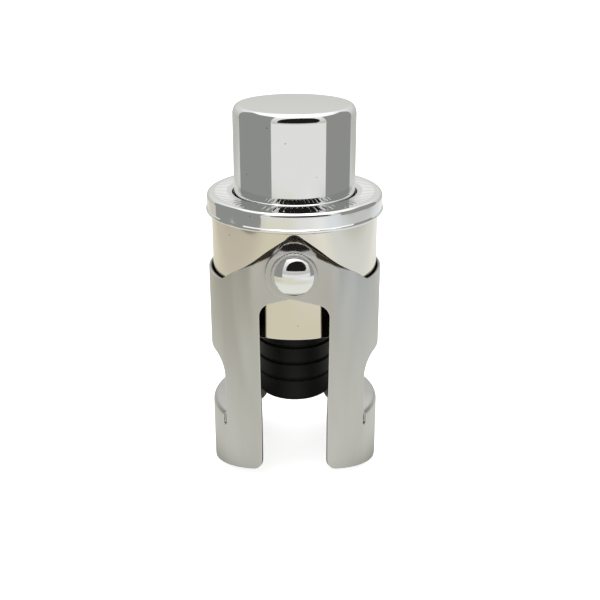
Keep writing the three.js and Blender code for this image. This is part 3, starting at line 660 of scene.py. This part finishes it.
def arm_mesh(name, turn):
    """Arm as one closed sheet, turned about +Z.

    Both faces carry the same triangles, joined between the inset outline and a lattice of points;
    rounded strips along every outline join the two faces. The blank's u and v are kept as a UV map.
    """
    loops = blank_loops()
    rim = [inset(loop, 2 * sheet_edge) for loop in loops]
    rim_points = np.concatenate(rim)
    u_step, v_step, half_length, height = 0.00055, 0.00048, 0.0365, 0.062
    fine_step, fine_reach, fine_drop, clear_of_rim = 0.00021, 0.0096, 0.006, 0.00024
    u, v = np.meshgrid(np.arange(-half_length, half_length, u_step), np.arange(0, height, v_step))
    u = u + (np.arange(len(u)) % 2)[:, None] * u_step / 2
    lattice = np.stack([u.ravel(), v.ravel()], axis=1)
    bend_margin, bend_row_count = 0.0001, 10
    bend_low, bend_high = hook_height - bend_margin, hook_height + hook_bend * hook_fold + bend_margin
    in_bend = (lattice[:, 1] > bend_low) & (lattice[:, 1] < bend_high)
    in_bend &= np.abs(lattice[:, 0]) < hook_half_width
    bend_rows = np.linspace(bend_low, bend_high, bend_row_count)
    u, v = np.meshgrid(np.arange(-hook_half_width, hook_half_width, u_step), bend_rows)
    lattice = np.concatenate([lattice[~in_bend], np.stack([u.ravel(), v.ravel()], axis=1)])
    x, y = np.meshgrid(
        np.arange(-fine_reach, fine_reach, fine_step), np.arange(-fine_drop, fine_reach, fine_step))
    ear = np.stack([x.ravel(), y.ravel() + pivot_height], axis=1)
    by_ear = quarter - np.abs(lattice[:, 0]) < fine_reach
    lattice = lattice[~(by_ear & (lattice[:, 1] > pivot_height - fine_drop))]
    lattice = np.concatenate([lattice, ear + (quarter, 0), ear - (quarter, 0)])
    keep = inside(lattice, rim[0]) & ~np.any([inside(lattice, loop) for loop in rim[1:]], axis=0)
    lattice = lattice[keep]
    near = np.concatenate([
        np.hypot(*(part[:, None] - rim_points[None]).transpose(2, 0, 1)).min(axis=1) < clear_of_rim
        for part in np.array_split(lattice, 24)])
    lattice = lattice[~near]
    ends = np.cumsum([len(loop) for loop in rim])
    starts = ends - [len(loop) for loop in rim]
    edges = np.concatenate([
        np.stack([np.arange(a, b), np.roll(np.arange(a, b), -1)], axis=1) for a, b in zip(starts, ends)])
    flat = np.concatenate([rim_points, lattice])
    made = geometry.delaunay_2d_cdt([Vector(p) for p in flat.tolist()], edges.tolist(), [], 0, 1e-9)
    flat = np.array([tuple(p) for p in made[0]])
    triangles = np.array(made[2])
    centres = flat[triangles].mean(axis=1)
    kept = inside(centres, rim[0]) & ~np.any([inside(centres, loop) for loop in rim[1:]], axis=0)
    triangles = triangles[kept]
    count = len(flat)
    blank = np.concatenate([
        np.column_stack([flat, np.zeros(count)]), np.column_stack([flat, np.full(count, sheet)])])
    faces = [triangles[:, ::-1], triangles + count]
    angle = np.linspace(0, np.pi / 2, 4)
    insets = sheet_edge * (1 - np.sin(angle))
    depths = sheet_edge * (1 - np.cos(angle))
    insets = np.concatenate([[2 * sheet_edge], insets, insets[::-1], [2 * sheet_edge]])
    depths = np.concatenate([[0], depths, sheet - depths[::-1], [sheet]])
    strips = []
    offset = len(blank)
    for loop in loops:
        ring_count = len(insets)
        strip = np.stack([np.column_stack([inset(loop, d), np.full(len(loop), z)])
                          for d, z in zip(insets, depths)], axis=1)
        strips.append(strip.reshape(-1, 3))
        quads = grid_faces(len(loop), ring_count, closed=False)[:, ::-1] + offset
        faces.append(quads)
        offset += strip.shape[0] * ring_count
    blank = np.concatenate([blank, *strips])
    sheared = np.zeros(len(blank))
    across_edge = [0, 0.5, *np.ones(len(insets) - 4), 0.5, 0]
    sheared[2 * count:] = np.tile(across_edge, (len(blank) - 2 * count) // len(insets))
    polished = pressed(*blank[:, :2].T)[1] * (blank[:, 2] > sheet / 2)
    painted_shade = painted_shade_share(*blank.T)
    points = formed(*blank.T)
    c, s = math.cos(turn), math.sin(turn)
    points = points @ np.array([[c, s, 0], [-s, c, 0], [0, 0, 1]])
    mesh = bpy.data.meshes.new(name)
    mesh.from_pydata(points.tolist(), [], [f for part in faces for f in part.tolist()])
    # The scale attribute carries painted shade.
    for mask, values in (("sheared_edge", sheared), ("polished", polished), ("scale", painted_shade)):
        mesh.attributes.new(mask, "FLOAT", "POINT").data.foreach_set("value", values)
    corners = np.empty(len(mesh.loops), dtype=np.int32)
    mesh.loops.foreach_get("vertex_index", corners)
    layer = mesh.uv_layers.new(name="blank")
    layer.data.foreach_set("uv", blank[corners, :2].ravel())
    shell = bmesh.new()
    shell.from_mesh(mesh)
    bmesh.ops.remove_doubles(shell, verts=shell.verts, dist=2e-7)
    shell.to_mesh(mesh)
    shell.free()
    mesh.shade_smooth()
    mesh.set_sharp_from_angle(angle=math.radians(arm_crease))
    piece = bpy.data.objects.new(name, mesh)
    bpy.context.scene.collection.objects.link(piece)
    return piece


def satin_steel():
    """Stainless sheet as it comes off the roll and out of the tumbler: a fine vertical grain, a cloudy
    sheen, sheared edges and a polished bevel on the ear that are smoother and carry a painted highlight
    as a lighter colour, and painted shade on the inner face behind the tube and along the top edge."""
    pale, dull = (0.62, 0.615, 0.60), (0.56, 0.555, 0.54)
    material, tree, shader, marks = finish_with_marks(
        "satin_steel", pale, 1.0, stretch=(1, 0.22, 1), uv="blank",
        cloud_scale=110.0, grain_scale=2600.0, speck_size=0.0)
    clouds = tint(tree, marks.outputs["Cloud"], dull, pale, shader.inputs["Base Color"], 0.32, 0.68)
    masks = []
    for name in ("sheared_edge", "polished", "scale"):
        mask = tree.nodes.new("ShaderNodeAttribute")
        mask.attribute_name = name
        masks.append(mask.outputs["Fac"])
    brighter = tree.nodes.new("ShaderNodeMath")
    brighter.operation = "MAXIMUM"
    tree.links.new(masks[0], brighter.inputs[0])
    tree.links.new(masks[1], brighter.inputs[1])
    # Painted highlight: the sheared edges and the polished bevel take a lighter colour; their lower
    # roughness below is the real polish.
    painted_highlight = tree.nodes.new("ShaderNodeMix")
    painted_highlight.data_type = "RGBA"
    painted_highlight.inputs[7].default_value = (0.66, 0.655, 0.64, 1)
    tree.links.new(brighter.outputs[0], painted_highlight.inputs["Factor"])
    tree.links.new(clouds.outputs["Color"], painted_highlight.inputs[6])
    # Painted shade: the scale mask mixes the colour towards near black on the inner face behind the tube
    # and along the top edge.
    scale = tree.nodes.new("ShaderNodeMix")
    scale.data_type = "RGBA"
    scale.inputs[7].default_value = (0.05, 0.04, 0.028, 1)
    tree.links.new(masks[2], scale.inputs["Factor"])
    tree.links.new(painted_highlight.outputs[2], scale.inputs[6])
    tree.links.new(scale.outputs[2], shader.inputs["Base Color"])
    satin_part = spread(tree, marks.outputs["Cloud"], 0.42, 0.34, shader.inputs["Roughness"])
    smoother = tree.nodes.new("ShaderNodeMix")
    smoother.inputs["B"].default_value = 0.13
    tree.links.new(brighter.outputs[0], smoother.inputs["Factor"])
    tree.links.new(satin_part.outputs["Result"], smoother.inputs["A"])
    tree.links.new(smoother.outputs["Result"], shader.inputs["Roughness"])
    relief(tree, marks.outputs["Grain"], shader, 0.00002, 0.5)
    return material


satin = satin_steel()
for name, turn in (("right", 0.0), ("left", math.pi)):
    arm = arm_mesh(f"{name}_sheet_arm", turn)
    arm.data.materials.append(satin)
    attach(arm, f"{name}_arm")
    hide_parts(f"{name}_arm")


# Rivets and washers
# Polished domed rivets carry the two ears at the front and at the back, each over a thin washer,
# and are upset to a flat button over a second washer inside the tube.
rivet_low, rivet_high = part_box("back_rivet")
dome_radius, dome_sphere, dome_brim = 0.0041, 0.0063, 0.0005
dome_height, brim_bevel, tail_bevel = 0.0024, 0.0001, 0.0004
dome_base = rivet_high.y - dome_height
shank_radius, tail_radius, tail_height = 0.0020, 0.0030, 0.0008
washer_low, washer_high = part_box("back_washer")
washer_radius = 0.0048
washer_under_round, washer_top_round = 0.0001, 0.00015


def facing(grid, side):
    """Turns a grid made about +Z to lie about the pivots' axis, outwards along side * Y."""
    x, y, z = np.moveaxis(grid, -1, 0)
    return np.stack([x * side, z * side, pivot_height + y], axis=-1)


spread_angle = math.asin(dome_radius / dome_sphere)
dome_centre = dome_base + dome_brim - dome_sphere * math.cos(spread_angle)
dome = arc(0, dome_centre, dome_sphere, np.pi / 2 - spread_angle, np.pi / 2, 28)
rivet_profile = np.concatenate([
    [[0, rivet_low.y], [tail_radius - tail_bevel, rivet_low.y], [tail_radius, rivet_low.y + tail_bevel],
     [tail_radius, rivet_low.y + tail_height], [shank_radius, rivet_low.y + tail_height],
     [shank_radius, dome_base], [dome_radius - brim_bevel, dome_base],
     [dome_radius, dome_base + brim_bevel]],
    dome])
washer_profile = rounded([
    (rivet_hole, washer_low.y), (washer_radius, washer_low.y, washer_under_round),
    (washer_radius, washer_high.y, washer_top_round), (rivet_hole, washer_high.y)])
for name, side in (("front", -1), ("back", 1)):
    grid = facing(revolve(rivet_profile, 96), side)
    rivet = new_piece(f"{name}_dome_rivet", grid, grid_faces(*grid.shape[:2], closed=False), crease=40)
    rivet.data.materials.append(chrome_plate)
    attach(rivet, "head")
    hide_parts(f"{name}_rivet")
    grid = facing(revolve(washer_profile, 96), side)
    washer = new_piece(f"{name}_flat_washer", grid, grid_faces(*grid.shape[:2]))
    washer.data.materials.append(satin)
    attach(washer, "head")
    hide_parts(f"{name}_washer")


# Studio
# A white floor that runs into a white surround, and soft lamps. Mirrors see other things than the
# camera does: a cream and grey table, a grey to bright surround, grey cards and a dark card. The
# colours, the places and the dark card's outline were worked out from the photo's reflections.
def seen_directly(tree):
    """Two masks: 1 for a camera ray, and 1 for a ray that a mirror or a clear piece sends out."""
    rays = tree.nodes.new("ShaderNodeLightPath")
    either = tree.nodes.new("ShaderNodeMath")
    either.operation = "MAXIMUM"
    tree.links.new(rays.outputs["Is Glossy Ray"], either.inputs[0])
    tree.links.new(rays.outputs["Is Transmission Ray"], either.inputs[1])
    return rays.outputs["Is Camera Ray"], either.outputs[0]


def stops(tree, source, low, high, colours):
    """Ramp of (place, colour) stops along a value that runs from low to high."""
    span = tree.nodes.new("ShaderNodeMapRange")
    span.inputs["From Min"].default_value = low
    span.inputs["From Max"].default_value = high
    tree.links.new(source, span.inputs["Value"])
    ramp = tree.nodes.new("ShaderNodeValToRGB")
    ramp.color_ramp.interpolation = "EASE"
    while len(ramp.color_ramp.elements) < len(colours):
        ramp.color_ramp.elements.new(0.5)
    for element, (place, colour) in zip(ramp.color_ramp.elements, colours):
        element.position, element.color = place, (*colour, 1)
    tree.links.new(span.outputs["Result"], ramp.inputs["Fac"])
    return ramp.outputs["Color"]


def mixed(tree, factor, first, second):
    """Mix of two colours, each a value or an output."""
    mix = tree.nodes.new("ShaderNodeMix")
    mix.data_type = "RGBA"
    tree.links.new(factor, mix.inputs["Factor"])
    for socket, colour in ((6, first), (7, second)):
        if isinstance(colour, tuple):
            mix.inputs[socket].default_value = (*colour, 1)
        else:
            tree.links.new(colour, mix.inputs[socket])
    return mix.outputs[2]


floor_size, floor_sink, floor_glow = 3.0, 0.00002, 0.68
cream, straw, stone = (0.78, 0.76, 0.64), (0.65, 0.615, 0.535), (0.55, 0.54, 0.51)
cool, white_paper, shade = (0.80, 0.84, 0.86), (0.85, 0.85, 0.84), (0.05, 0.045, 0.035)
by_stopper, bright_paper = (0.86, 0.87, 0.80), (0.93, 0.94, 0.91)
floor_mesh = bpy.data.meshes.new("floor")
half = floor_size / 2
floor_corners = [(-half, -half, 0), (half, -half, 0), (half, half, 0), (-half, half, 0)]
floor_mesh.from_pydata(floor_corners, [], [(0, 1, 2, 3)])
floor = bpy.data.objects.new("floor", floor_mesh)
floor.location.z = -floor_sink
bpy.context.scene.collection.objects.link(floor)
floor_paint = bpy.data.materials.new("floor_paint")
floor_paint.use_nodes = True
tree = floor_paint.node_tree
shader = tree.nodes["Principled BSDF"]
shader.inputs["Base Color"].default_value = (0.82, 0.82, 0.82, 1)
shader.inputs["Roughness"].default_value = 0.9
shader.inputs["Specular IOR Level"].default_value = 0.0
by_camera, by_mirror = seen_directly(tree)
glow = tree.nodes.new("ShaderNodeMath")
glow.operation = "MULTIPLY"
glow.inputs[1].default_value = floor_glow
tree.links.new(by_camera, glow.inputs[0])
tree.links.new(glow.outputs[0], shader.inputs["Emission Strength"])
shader.inputs["Emission Color"].default_value = (1, 1, 1, 1)
place = tree.nodes.new("ShaderNodeTexCoord")
apart = tree.nodes.new("ShaderNodeSeparateXYZ")
tree.links.new(place.outputs["Object"], apart.inputs["Vector"])
distance = tree.nodes.new("ShaderNodeVectorMath")
distance.operation = "LENGTH"
tree.links.new(place.outputs["Object"], distance.inputs[0])
near = stops(tree, apart.outputs["X"], -0.12, 0.12, [(0.0, straw), (0.3, cream), (0.7, cream), (1.0, cool)])
middle = stops(tree, apart.outputs["X"], -0.24, 0.24, [
    (0.0, stone), (0.15, straw), (0.27, cream), (0.42, cream), (0.6, white_paper),
    (0.74, bright_paper), (0.84, cool), (1.0, stone)])
far = stops(tree, apart.outputs["Y"], -0.2, 0.3, [(0.0, white_paper), (0.45, white_paper), (1.0, stone)])
dim, full = (0, 0, 0), (1, 1, 1)
# Painted shadow: as mirrors see it, the table darkens to the shade colour close under the stopper.
under = stops(tree, distance.outputs["Value"], 0.010, 0.030, [(0.0, dim), (1.0, full)])
by_foot = stops(tree, distance.outputs["Value"], 0.065, 0.095, [(0.0, dim), (1.0, full)])
by_distance = stops(tree, distance.outputs["Value"], 0.10, 0.17, [(0.0, dim), (1.0, full)])
by_reach = stops(tree, distance.outputs["Value"], 0.20, 0.30, [(0.0, dim), (1.0, full)])
lit = mixed(tree, by_reach, mixed(tree, by_distance, mixed(tree, by_foot, by_stopper, near), middle), far)
table = mixed(tree, under, shade, lit)
mirrored = tree.nodes.new("ShaderNodeEmission")
tree.links.new(table, mirrored.inputs["Color"])
choice = tree.nodes.new("ShaderNodeMixShader")
tree.links.new(by_mirror, choice.inputs["Fac"])
tree.links.new(shader.outputs["BSDF"], choice.inputs[1])
tree.links.new(mirrored.outputs["Emission"], choice.inputs[2])
tree.links.new(choice.outputs["Shader"], tree.nodes["Material Output"].inputs["Surface"])
floor.data.materials.append(floor_paint)

world = bpy.data.worlds.new("surround")
bpy.context.scene.world = world
world.use_nodes = True
tree = world.node_tree
sky = tree.nodes["Background"]
direction = tree.nodes.new("ShaderNodeTexCoord")
apart = tree.nodes.new("ShaderNodeSeparateXYZ")
tree.links.new(direction.outputs["Generated"], apart.inputs["Vector"])
wall = stops(tree, apart.outputs["Z"], 0.0, 1.0, [
    (0.0, (0.60, 0.59, 0.56)), (0.35, (0.76, 0.76, 0.75)), (0.62, (0.92, 0.92, 0.92)),
    (0.8, (1.2, 1.2, 1.2))])
rays = tree.nodes.new("ShaderNodeLightPath")
tree.links.new(mixed(tree, rays.outputs["Is Camera Ray"], wall, (1, 1, 1)), sky.inputs["Color"])
sky.inputs["Strength"].default_value = 1.0


def soft_lamp(name, place, size, power, in_mirrors=True):
    """Square area lamp that looks at the stopper's middle, and that mirrors may be kept from showing."""
    light = bpy.data.lights.new(name, "AREA")
    light.size, light.energy = size, power
    lamp = bpy.data.objects.new(name, light)
    lamp.location = place
    lamp.visible_glossy = in_mirrors
    lamp.rotation_euler = (Vector((0, 0, 0.045)) - lamp.location).to_track_quat("-Z", "Y").to_euler()
    bpy.context.scene.collection.objects.link(lamp)


soft_lamp("overhead", (0.0, -0.05, 0.75), 0.5, 1.6)
soft_lamp("front_left", (-0.55, -0.55, 0.60), 0.4, 1.2, in_mirrors=False)


def card(name, corners, colour, strength=1.0):
    """Flat card that only mirrors see: it casts no shadow and sheds no light on things."""
    mesh = bpy.data.meshes.new(name)
    mesh.from_pydata(corners, [], [tuple(range(len(corners)))])
    paint = bpy.data.materials.new(name)
    paint.use_nodes = True
    shader = paint.node_tree.nodes["Principled BSDF"]
    shader.inputs["Base Color"].default_value = (0, 0, 0, 1)
    shader.inputs["Roughness"].default_value = 1.0
    shader.inputs["Specular IOR Level"].default_value = 0.0
    shader.inputs["Emission Color"].default_value = (*colour, 1)
    shader.inputs["Emission Strength"].default_value = strength
    mesh.materials.append(paint)
    board = bpy.data.objects.new(name, mesh)
    board.visible_camera = board.visible_diffuse = board.visible_shadow = board.visible_transmission = False
    bpy.context.scene.collection.objects.link(board)


def standing(angle_from, angle_to, distance, low, high):
    """Corners of a card that stands between two bearings, measured from the front towards the right."""
    bearings = math.radians(angle_from), math.radians(angle_to)
    (ax, ay), (bx, by) = [(distance * math.sin(a), -distance * math.cos(a)) for a in bearings]
    return [(ax, ay, low), (bx, by, low), (bx, by, high), (ax, ay, high)]


grey, dark = (0.30, 0.305, 0.29), (0.014, 0.012, 0.011)
for name, first, last, distance, top in (
        ("grey_card_left_front", -84, -41.5, 0.215, 0.30), ("grey_card_left_back", -119, -84, 0.215, 0.30),
        ("grey_card_right_front", 58.5, 92, 0.24, 0.28), ("grey_card_right_back", 92, 124, 0.24, 0.28)):
    card(name, standing(first, last, distance, 0.0002, top), grey)
room_front = -0.215
room_outline = (
    (-0.124, 0.103), (-0.086, 0.097), (0.017, 0.095), (0.177, 0.095), (0.226, 0.138), (0.236, 0.216),
    (0.173, 0.297), (0.058, 0.300), (-0.038, 0.265), (-0.093, 0.220), (-0.122, 0.166))
card("dark_room", [(x, room_front, z) for x, z in room_outline], dark)


# Camera
# Close in front and above, looking down at the rivet, as in the photograph.
view = bpy.data.cameras.new("camera")
view.sensor_width = 36.0
view.lens = 57.03
view.clip_start = 0.01
camera = bpy.data.objects.new("camera", view)
camera.location = (0.0012, -0.2046, 0.1215)
camera.rotation_euler = (math.radians(68.03), 0, 0)
bpy.context.scene.collection.objects.link(camera)
bpy.context.scene.camera = camera
bpy.context.scene.view_settings.view_transform = "Standard"
